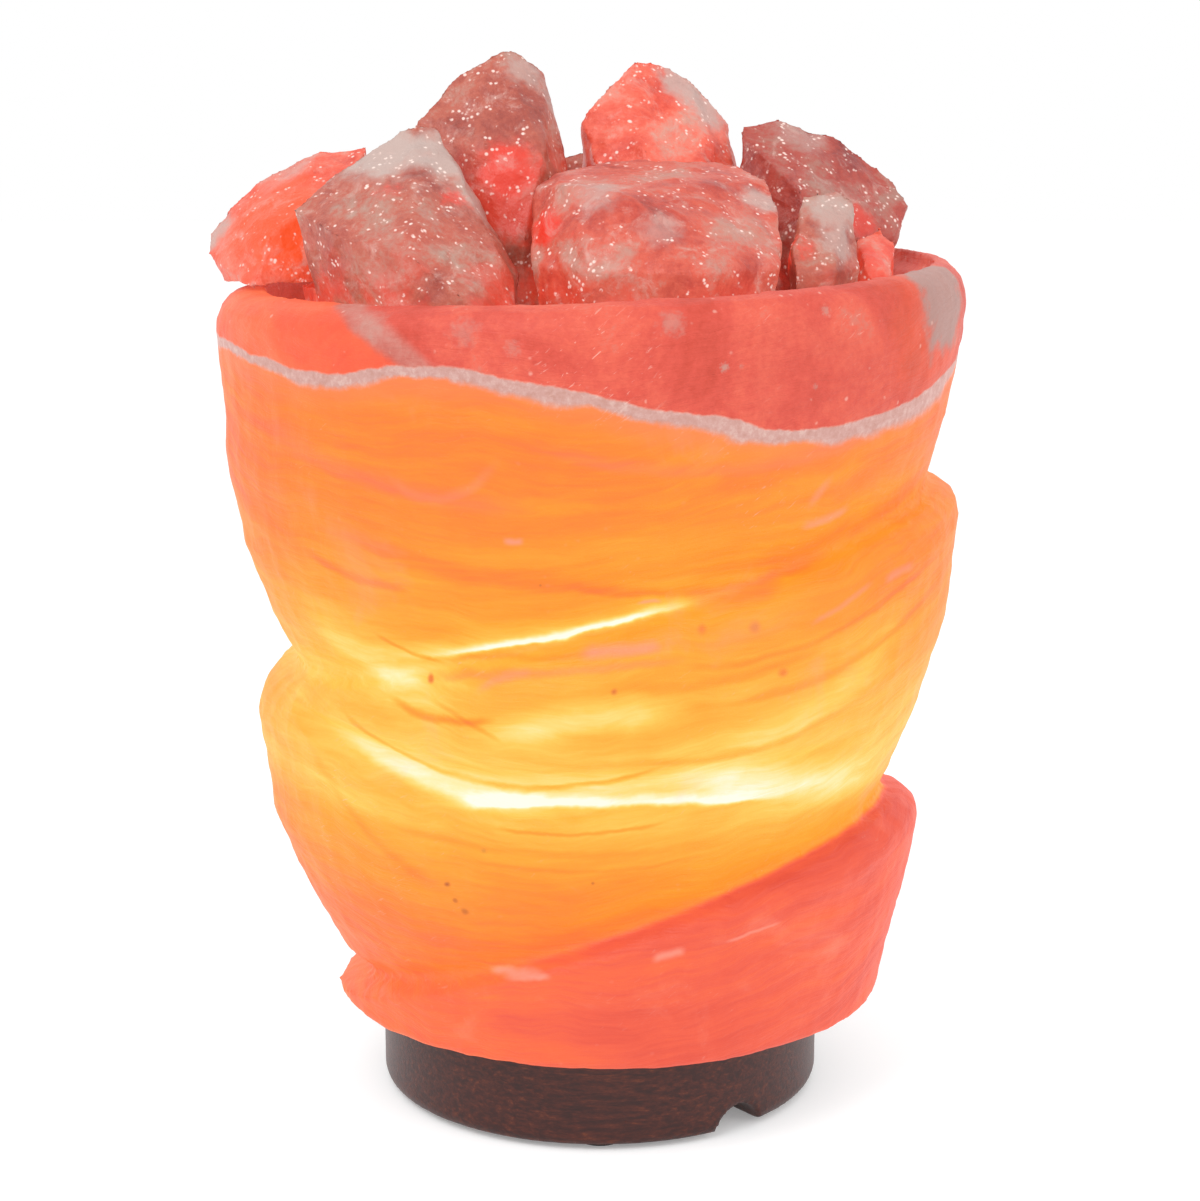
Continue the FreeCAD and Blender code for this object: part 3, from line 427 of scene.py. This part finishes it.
def opaque_band(t, x, z, front, clouds, grain):
    """Colour of the opaque band, the clouds in it, and the share of its left end."""
    band_clouds = t.noise(30.0, detail=6, roughness=0.62, distortion=0.7, at=t.shifted(8.0))
    tone = t.math("ADD", t.math("MULTIPLY", band_clouds, 0.8), t.math("MULTIPLY", grain, 0.28))
    band = t.ramp(tone, BAND_TONES)
    # the left end of the band is smoother and more orange, behind a soft grey seam
    leaning = t.math("ADD", x, t.math("MULTIPLY", t.math("SUBTRACT", z, 176.0), 1.25))
    leaning = t.math("ADD", leaning, t.swing(clouds, 10.0))
    left = t.math("MULTIPLY", t.fit(leaning, -37.0, -41.0), front)
    left_tone = t.math("ADD", t.math("MULTIPLY", band_clouds, 0.85), t.math("MULTIPLY", grain, 0.12))
    salmon = t.ramp(left_tone, LEFT_BAND_TONES)
    band = t.mix(left, band, salmon)
    seam = t.math("MULTIPLY", t.fit(leaning, -41.0, -37.0), t.fit(leaning, -29.0, -34.0))
    seam = t.math("MULTIPLY", t.math("MULTIPLY", seam, front), t.fit(tone, 0.38, 0.62, 0.35, 0.9))
    band = t.mix(seam, band, srgb("C49084"))
    rim_patch = t.patch((72, -34, 188), 17, soft=0.45, warp=0.5, seed=31)
    band = t.mix(t.math("MULTIPLY", rim_patch, 0.8), band, srgb("A89088"))
    near_patch = t.patch((66, -38, 182), 26, soft=0.7, warp=0.4, seed=32)
    near_patch = t.math("MULTIPLY", near_patch, t.math("SUBTRACT", 1.0, rim_patch))
    band = t.mix(t.math("MULTIPLY", near_patch, 0.35), band, srgb("FF6A3C"))
    for place, reach, share in BAND_PATCHES:
        patch = t.patch(place, reach, soft=0.9, warp=0.9, seed=place[0])
        band = t.mix(t.math("MULTIPLY", patch, share), band, srgb("BC9488"))
    return band, band_clouds, left


def painted_glints_and_sparkles(t, place, band_clouds):
    """Short slanting painted glints where the band is rough, and pale painted sparkles."""
    x, y, z = place
    along = t.math("ADD", t.math("MULTIPLY", x, 0.80), t.math("MULTIPLY", z, 0.60))
    across = t.math("SUBTRACT", t.math("MULTIPLY", z, 0.80), t.math("MULTIPLY", x, 0.60))
    slant = t.joined(t.math("MULTIPLY", along, 0.30), t.math("MULTIPLY", y, 0.30),
                     t.math("MULTIPLY", across, 1.7))
    scratch = t.noise(1.0, detail=3, roughness=0.6, distortion=0.6, at=slant)
    rough_zone = t.math("MAXIMUM", t.patch((-1, -84, 177), 17, soft=0.8, warp=0.3, seed=41),
                        t.fit(band_clouds, 0.5, 0.7, 0.0, 0.5))
    glints = t.math("MULTIPLY", t.math("MULTIPLY", t.fit(scratch, 0.62, 0.72), rough_zone), 0.75)
    painted_sparkles = t.cells(380.0, at=t.stretched((1, 1, 1), turn=(20, 30, 0)))
    chance = t.noise(230.0, detail=2, at=t.shifted(11.0))
    painted_sparkles = t.math("MULTIPLY", t.fit(painted_sparkles, 0.26, 0.08), t.fit(chance, 0.58, 0.66))
    return glints, painted_sparkles


# the bulb's light through the salt is painted: the bowl's glow is emission in its colour, by height, layers
# and strokes
def bowl_salt():
    t = Tree("carved_lit_salt", roughness=0.5)
    t.shader.inputs["Specular IOR Level"].default_value = 0.35
    x, y, z = [t.math("MULTIPLY", value, MM_PER_METRE) for value in t.split(t.place)]
    front = t.fit(y, -4.0, -22.0)

    painted_glow_level = t.curve(z, PAINTED_GLOW_BY_HEIGHT)
    # more light comes through where the bowl is narrow, and less at the far left and right
    radius = t.math("SQRT", t.math("ADD", t.math("MULTIPLY", x, x), t.math("MULTIPLY", y, y)))
    painted_glow_level = t.math("ADD", painted_glow_level, t.fit(radius, 66.0, 84.0, 0.05, -0.06, smooth=False))
    side = t.math("ABSOLUTE", t.math("ADD", x, 2.0))
    painted_glow_level = t.math("ADD", painted_glow_level, t.fit(side, 52.0, 84.0, 0.0, -0.10))

    # layers in the salt, which let through more or less of the painted glow
    layered = salt_layers(t, x, y, z)
    broad = t.noise(1.0, detail=5, roughness=0.55, distortion=0.4,
                    at=t.scaled(layered, (0.013, 0.013, 0.075)))
    streaks = t.noise(1.0, detail=5, roughness=0.62, distortion=0.5,
                      at=t.scaled(layered, (0.022, 0.022, 0.20), (7, 3, 1)))
    fine = t.noise(1.0, detail=4, roughness=0.7, distortion=0.2,
                   at=t.scaled(layered, (0.06, 0.06, 0.75), (2, 9, 4)))
    clouds = t.noise(38.0, detail=5, roughness=0.6, distortion=0.6, at=t.shifted(2.0))
    for value, weight in ((broad, 0.22), (streaks, 0.26), (fine, 0.12), (clouds, 0.14)):
        painted_glow_level = t.math("ADD", painted_glow_level, t.swing(value, weight))

    # strokes of brighter and dimmer painted glow, and pink salt, on the front
    wobble = t.swing(t.noise(120.0, detail=3, roughness=0.6), 2.0)
    pink = t.math("MULTIPLY", t.fit(clouds, 0.56, 0.72), 0.20)
    for first, middle, last, above, below, ends, gain, cast in STROKES:
        mask = t.stroke(x, z, wobble, first, middle, last, above, below, ends)
        mask = t.math("MULTIPLY", mask, front)
        painted_glow_level = t.math("ADD", painted_glow_level, t.math("MULTIPLY", mask, gain))
        if cast:
            pink = t.math("MAXIMUM", pink, t.math("MULTIPLY", mask, cast))

    painted_glow_level = with_lowest_tier(t, painted_glow_level, (x, y, z), wobble, broad, fine, clouds)
    glow = t.ramp(painted_glow_level, GLOW)
    glow = t.mix(pink, glow, srgb("FF9C86"))
    for place, reach, colour in SPECKS:
        away = t.away_from(x, z, place)
        mask = t.fit(t.math("ADD", away, t.math("MULTIPLY", wobble, 0.9)), reach, 0.0)
        glow = t.mix(t.math("MULTIPLY", t.math("MULTIPLY", mask, 0.8), front), glow, srgb(colour))

    # opaque band at the top, down to the pale vein
    grain = t.noise(520.0, detail=4, roughness=0.75)
    vein_level = t.curve(x, VEIN)
    vein_level = t.math("ADD", t.math("MULTIPLY", vein_level, t.fit(y, 30.0, -10.0)),
                        t.math("MULTIPLY", VEIN_BACK_LEVEL, t.fit(y, -10.0, 30.0)))
    wander = t.noise(60.0, detail=5, roughness=0.65, at=t.shifted(5.0))
    vein_level = t.math("ADD", vein_level, t.swing(wander, 4.0))
    above = t.math("SUBTRACT", z, vein_level)
    in_band = t.fit(above, -0.2, 0.9)
    thick = t.math("MULTIPLY", t.fit(t.noise(34.0, detail=3, at=t.shifted(15.0)), 0.35, 0.65, 2.2, 4.8),
                   t.fit(x, -50.0, 30.0, 0.75, 1.25))
    ragged = t.math("ADD", above, t.swing(grain, 1.2))
    vein = t.math("MULTIPLY", t.fit(t.math("DIVIDE", ragged, thick), -1.0, -0.45), t.fit(above, 0.9, 0.2))
    # painted glow, more orange, just below the vein
    halo = t.math("MULTIPLY", t.fit(t.math("ADD", above, t.swing(clouds, 6.0)), -9.0, -2.0), 0.6)
    band, band_clouds, left = opaque_band(t, x, z, front, clouds, grain)

    glints, painted_sparkles = painted_glints_and_sparkles(t, (x, y, z), band_clouds)

    colour = t.mix(halo, glow, srgb("FF8450"))
    colour = t.mix(in_band, colour, band)
    colour = t.mix(t.math("MULTIPLY", vein, 0.9), colour, t.ramp(grain, VEIN_TONES))
    painted_sparkles = t.math("MULTIPLY", painted_sparkles, t.fit(in_band, 0.0, 1.0, 0.06, 0.5))
    # painted highlights: pale glints and sparkles
    for bits, share in ((glints, 0.8), (painted_sparkles, 0.7)):
        colour = t.mix(t.math("MULTIPLY", bits, share), colour, srgb("FFD8C8"))

    # surface colour is dim where the salt glows, and its light takes over
    dark = t.fit(in_band, 0.0, 1.0, 0.86, 0.36, smooth=False)
    dark = t.math("ADD", dark, t.math("MULTIPLY", left, t.math("MULTIPLY", in_band, 0.30)))
    t.to("Base Color", t.mix(dark, colour, BLACK))
    t.to("Emission Color", t.mix(t.math("SUBTRACT", 1.0, dark), colour, BLACK))
    t.shader.inputs["Emission Strength"].default_value = 1.0
    t.to("Normal", t.bump(grain, 0.35 * MM, 0.5, after=t.bump(fine, 0.8 * MM, 0.6)))
    return t.material


def salt_bowl():
    piece = frame_copy("salt_bowl", "salt_bowl_carved")
    resampled(piece, BOWL_VOXEL, smoothing=1)

    def depth(place, normal):
        level = place.z - LAYER_SAG * (place.x + LAYER_OFFSET) ** 2
        across = Vector((place.x * 0.02, place.y * 0.02, level * 0.12))
        gouges = noise.noise(across) * 0.5 + noise.noise(across * 2.7) * 0.22
        pits = noise.noise(place * 0.22) * 0.20 + noise.noise(place * 0.5) * 0.10
        return -0.30 + gouges + pits

    displaced(piece, depth)
    piece.visible_diffuse = False       # its glow doesn't tint the floor
    finished(piece, bowl_salt(), "lamp", "lit_salt", "salt_bowl")


# ---------------------------------------------------------------- loose chunks
def chunk_salt(name, seed, stops, glow_top, glow_patches=(), grey_patches=(), warm=0.0):
    """Broken rock salt: stops are its body colours, with patches of painted glow, the bulb's light through
    the salt, and grey patches, at places in mm.
    """
    t = Tree(name, roughness=0.42)
    t.shader.inputs["Specular IOR Level"].default_value = 0.5
    z = t.math("MULTIPLY", t.split(t.place)[2], MM_PER_METRE)
    clouds = t.noise(60.0, detail=6, roughness=0.62, distortion=0.4, at=t.shifted(seed))
    grain = t.noise(700.0, detail=3, roughness=0.7, at=t.shifted(seed + 1))
    tone = t.math("ADD", t.math("MULTIPLY", clouds, 0.85), t.math("MULTIPLY", grain, 0.25))
    colour = t.ramp(tone, stops)
    for i, (centre, reach, strength) in enumerate(grey_patches):
        mask = t.math("MULTIPLY", t.patch(centre, reach, soft=0.6, warp=0.45, seed=seed + 3 + i), strength)
        colour = t.mix(mask, colour, srgb("B09A92"))
    # painted glow of the bulb's light through the chunk, strongest low down and in patches
    painted_bulb_glow = t.fit(z, glow_top, glow_top - 22.0)
    painted_bulb_glow = t.math("MULTIPLY", painted_bulb_glow, t.fit(t.noise(90.0, detail=4, at=t.shifted(seed + 9)), 0.40, 0.62))
    painted_bulb_glow = t.math("MULTIPLY", painted_bulb_glow, 0.6)
    for i, (centre, reach, strength) in enumerate(glow_patches):
        mask = t.math("MULTIPLY", t.patch(centre, reach, soft=0.6, warp=0.4, seed=seed + 20 + i), strength)
        painted_bulb_glow = t.math("MAXIMUM", painted_bulb_glow, mask)
    red = t.mix(warm, srgb("E8321C"), srgb("FF5C22"))
    colour = t.mix(painted_bulb_glow, colour, red)
    # painted sparkles gather along the edges of the crystal's facets
    crystals = t.cells(85.0, at=t.shifted(seed + 4), feature="DISTANCE_TO_EDGE")
    edges = t.fit(crystals, 0.10, 0.0)
    painted_sparkles = t.cells(760.0, at=t.shifted(seed + 5))
    chance = t.noise(260.0, detail=3, roughness=0.7, at=t.shifted(seed + 6))
    chance = t.math("ADD", chance, t.math("MULTIPLY", edges, 0.10))
    painted_sparkles = t.math("MULTIPLY", t.fit(painted_sparkles, 0.42, 0.15), t.fit(chance, 0.56, 0.66))
    colour = t.mix(t.math("MULTIPLY", painted_sparkles, 0.75), colour, srgb("F4DCD2"))
    veil = t.noise(150.0, detail=5, roughness=0.7, distortion=0.8, at=t.shifted(seed + 8))
    colour = t.mix(t.math("MULTIPLY", t.fit(veil, 0.52, 0.70), 0.35), colour, srgb("C9A79C"))
    # surface colour is dim where the painted glow is, and a little painted glow lies on the whole chunk
    t.to("Base Color", t.mix(t.math("MULTIPLY", painted_bulb_glow, 0.6), colour, BLACK))
    share = t.math("ADD", 0.14, t.math("MULTIPLY", painted_bulb_glow, 0.55))
    t.to("Emission Color", t.mix(share, BLACK, colour))
    t.shader.inputs["Emission Strength"].default_value = 1.0
    facet = t.bump(t.fit(crystals, 0.0, 0.35), 1.2 * MM, 0.6, after=t.bump(clouds, 2.0 * MM, 0.5))
    t.to("Normal", t.bump(grain, 0.35 * MM, 0.7, after=facet))
    return t.material


CHUNK_BITE = 1.6        # how deep the hollows of a chunk's facets go, in mm


def salt_chunk(number, material):
    node = "salt_chunk_%02d" % number
    piece = frame_copy(node, node + "_rough")
    resampled(piece, CHUNK_VOXEL)
    shift = Vector((number * 13.7, number * 7.1, number * 3.3))

    def depth(place, normal):
        spot = place + shift
        distances, _ = noise.voronoi(spot * 0.11)
        facets = min(1.0, distances[0] * 1.5)
        rough = noise.noise(spot * 0.35) * 0.5 + noise.noise(spot * 0.8) * 0.3
        return -CHUNK_BITE * (0.15 + 0.55 * facets) + 0.45 * rough

    displaced(piece, depth)
    slot = "warm_chunk_salt" if number == 1 else "chunk_salt"
    finished(piece, material, "chunk_%02d" % number, slot, node)


ROSE = [(0.30, "82281E"), (0.44, "AC3A2C"), (0.56, "C2503C"), (0.70, "B27A6C")]
BROWN = [(0.30, "743026"), (0.44, "944034"), (0.56, "AC5644"), (0.70, "A68274")]
DARK = [(0.30, "5E1C1A"), (0.44, "862C26"), (0.56, "A24034"), (0.70, "9C6A5E")]
PINK = [(0.30, "B03222"), (0.44, "CC4430"), (0.56, "DC5E48"), (0.70, "C88878")]


def salt_chunks():
    salt_chunk(1, chunk_salt("salt_chunk_far_left", 1.0, PINK, 195,
                             glow_patches=[((-70, -6, 200), 19, 0.9), ((-76, -2, 196), 12, 0.7)],
                             grey_patches=[((-88, 2, 199), 8, 0.8), ((-72, 8, 211), 9, 0.4)], warm=0.7))
    salt_chunk(2, chunk_salt("salt_chunk_left_front", 2.0, BROWN, 205,
                             glow_patches=[((-32, -32, 204), 6, 0.9), ((-44, -34, 206), 5, 0.6)],
                             grey_patches=[((-46, -24, 216), 12, 0.95), ((-34, -22, 214), 11, 0.9),
                                           ((-27, -28, 205), 8, 0.7), ((-38, -40, 199), 7, 0.5)]))
    salt_chunk(3, chunk_salt("salt_chunk_tall_left", 3.0, BROWN, 224,
                             glow_patches=[((-20, -14, 212), 10, 0.8), ((-20, -14, 203), 10, 0.6)],
                             grey_patches=[((-18, 6, 232), 7, 0.6), ((-12, 8, 226), 6, 0.5)]))
    salt_chunk(4, chunk_salt("salt_chunk_back_middle", 4.0, PINK, 218,
                             grey_patches=[((20, 20, 232), 9, 0.8), ((26, 18, 226), 9, 0.8)]))
    salt_chunk(5, chunk_salt("salt_chunk_front_middle", 5.0, ROSE, 200,
                             glow_patches=[((-10, -40, 201), 6, 1.0), ((-2, -46, 199), 5, 0.9),
                                           ((4, -50, 196), 4, 0.8)],
                             grey_patches=[((34, -28, 206), 6, 0.7), ((0, -42, 206), 8, 0.6),
                                           ((12, -50, 200), 7, 0.4)]))
    salt_chunk(6, chunk_salt("salt_chunk_front_right", 6.0, BROWN, 200,
                             glow_patches=[((42, -32, 195), 5, 0.9)],
                             grey_patches=[((50, -24, 204), 8, 0.7), ((50, -30, 197), 6, 0.6)]))
    salt_chunk(7, chunk_salt("salt_chunk_right_back", 7.0, DARK, 205,
                             glow_patches=[((58, 0, 200), 6, 0.5)],
                             grey_patches=[((46, 14, 219), 8, 0.4)]))
    salt_chunk(8, chunk_salt("salt_chunk_low_right", 8.0, PINK, 205,
                             glow_patches=[((58, -14, 193), 6, 0.6)]))
    for number, seed, stops in ((9, 9.0, ROSE), (10, 10.0, BROWN), (11, 11.0, ROSE), (12, 12.0, PINK)):
        salt_chunk(number, chunk_salt("salt_chunk_hidden_%02d" % number, seed, stops, 200))


# ---------------------------------------------------------------- wooden base
def dark_wood():
    t = Tree("dark_stained_wood", roughness=0.38)
    t.shader.inputs["Specular IOR Level"].default_value = 0.4
    fibres = t.noise(1.0, detail=6, roughness=0.65, distortion=0.5, at=t.stretched((60, 900, 900)))
    pores = t.noise(1.0, detail=3, roughness=0.7, at=t.stretched((500, 1500, 1500), offset=(2, 0, 0)))
    tone = t.math("ADD", t.math("MULTIPLY", fibres, 0.65), t.math("MULTIPLY", pores, 0.4))
    t.to("Base Color", t.ramp(tone, [(0.30, "200604"), (0.48, "35100A"), (0.60, "4C1C10"), (0.72, "6E3418")]))
    t.to("Normal", t.bump(tone, 0.25 * MM, 0.5))
    return t.material


def wood_base():
    piece = frame_copy("wood_base", "wood_base_turned")
    resampled(piece, WOOD_VOXEL, smoothing=2)
    finished(piece, dark_wood(), "lamp", "dark_wood", "wood_base")


# ---------------------------------------------------------------- small parts
PLAIN_GRAIN_SCALE = 900.0
PLAIN_SPREAD = 0.15
PLAIN_RELIEF = 0.05 * MM


def plain(name, colour, roughness, metallic=0.0, **sockets):
    """Simple finish whose colour and relief vary finely."""
    t = Tree(name, roughness=roughness, **sockets)
    t.shader.inputs["Metallic"].default_value = metallic
    grain = t.noise(PLAIN_GRAIN_SCALE, detail=4, roughness=0.6)
    dim = tuple(channel * (1 - PLAIN_SPREAD) for channel in srgb(colour)[:3]) + (1.0,)
    t.to("Base Color", t.mix(grain, dim, srgb(colour)))
    t.to("Normal", t.bump(grain, PLAIN_RELIEF, 0.5))
    return t.material


def small_parts():
    steel = plain("plated_steel", "C9C4B8", 0.35, metallic=1.0)
    brass = plain("pressed_brass", "D8B060", 0.3, metallic=1.0)
    finishes = {
        "base_feet": plain("foot_rubber", "1C1A1A", 0.8),
        "base_screws": steel, "clip_rivets": steel, "terminal_screws": steel, "filament_supports": steel,
        "screw_anchors": plain("anchor_plastic", "C8C6BE", 0.5),
        "holder_flange": plain("pressed_sheet_steel", "BFC0C0", 0.4, metallic=1.0),
        "holder_clips": plain("spring_steel", "D4D4D0", 0.25, metallic=1.0),
        "holder_shell": plain("black_moulding", "141416", 0.35),
        "holder_cap": plain("black_moulding_cap", "141416", 0.35),
        "contact_carrier": plain("carrier_ceramic", "E6E0D2", 0.45),
        "screw_sleeve": brass, "centre_contact": brass, "side_contact": brass,
        "bulb_tip_contact": plain("dull_solder", "A8A8A8", 0.45, metallic=1.0),
        "bulb_tip_insulator": plain("black_glass", "101014", 0.15),
        "bulb_screw_cap": plain("bulb_cap_metal", "D0CEC8", 0.3, metallic=1.0),
        "filament": plain("glowing_wire", "FFC060", 0.5, Emission_Color=(1.0, 0.55, 0.16, 1.0),
                          Emission_Strength=12.0),
        "bulb_glass": plain("clear_bulb_glass", "FFF8EC", 0.05, Transmission_Weight=1.0, IOR=1.2),
        "bulb_stem": plain("stem_glass", "F0F4F0", 0.08, Transmission_Weight=1.0, IOR=1.3),
    }
    for node, material in finishes.items():
        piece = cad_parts[node]
        piece.data.materials.clear()
        piece.data.materials.append(material)


# ---------------------------------------------------------------- floor, light and camera
def seen_directly(tree):
    """1 for camera, glossy and transmission rays."""
    path = tree.nodes.new("ShaderNodeLightPath")
    result = path.outputs["Is Camera Ray"]
    for name in ("Is Glossy Ray", "Is Transmission Ray"):
        larger = tree.nodes.new("ShaderNodeMath")
        larger.operation = "MAXIMUM"
        tree.links.new(result, larger.inputs[0])
        tree.links.new(path.outputs[name], larger.inputs[1])
        result = larger.outputs[0]
    return result


def studio():
    mesh = bpy.data.meshes.new("floor")
    side = FLOOR_HALF_SIDE
    corners = [(-side, -side, 0), (side, -side, 0), (side, side, 0), (-side, side, 0)]
    mesh.from_pydata(corners, [], [(0, 1, 2, 3)])
    floor = bpy.data.objects.new("floor", mesh)
    bpy.context.scene.collection.objects.link(floor)
    t = Tree("floor_white", roughness=0.9)
    t.shader.inputs["Base Color"].default_value = (0.86, 0.86, 0.86, 1)
    t.shader.inputs["Specular IOR Level"].default_value = 0.0
    t.shader.inputs["Emission Color"].default_value = (1, 1, 1, 1)
    t.to("Emission Strength", t.math("MULTIPLY", seen_directly(t.tree), FLOOR_LIFT))
    mesh.materials.append(t.material)

    world = bpy.data.worlds.new("studio")
    bpy.context.scene.world = world
    world.use_nodes = True
    background = world.node_tree.nodes["Background"]
    background.inputs[0].default_value = (1, 1, 1, 1)
    lift = world.node_tree.nodes.new("ShaderNodeMath")
    lift.operation = "MULTIPLY_ADD"
    world.node_tree.links.new(seen_directly(world.node_tree), lift.inputs[0])
    lift.inputs[1].default_value = 1.0 - WORLD_LIGHT
    lift.inputs[2].default_value = WORLD_LIGHT
    world.node_tree.links.new(lift.outputs[0], background.inputs[1])

    for name, place, size, power in LAMPS:
        lamp = bpy.data.lights.new(name, "AREA")
        lamp.size = size
        lamp.energy = power
        light = bpy.data.objects.new(name, lamp)
        light.location = place
        light.rotation_euler = (Vector(LAMP_AIM) - Vector(place)).to_track_quat("-Z", "Y").to_euler()
        bpy.context.scene.collection.objects.link(light)

    camera = bpy.data.cameras.new("camera")
    camera.sensor_width = SENSOR
    camera.lens = FOCAL_PIXELS * SENSOR / PICTURE_WIDTH_PIXELS
    camera.clip_start = 0.01
    viewer = bpy.data.objects.new("camera", camera)
    viewer.location = (0, -CAMERA_DISTANCE, CAMERA_HEIGHT)
    viewer.rotation_euler = (math.radians(90 - CAMERA_PITCH), 0, 0)
    bpy.context.scene.collection.objects.link(viewer)
    bpy.context.scene.camera = viewer
    bpy.context.scene.view_settings.view_transform = "Standard"


salt_bowl()
salt_chunks()
wood_base()
small_parts()
studio()
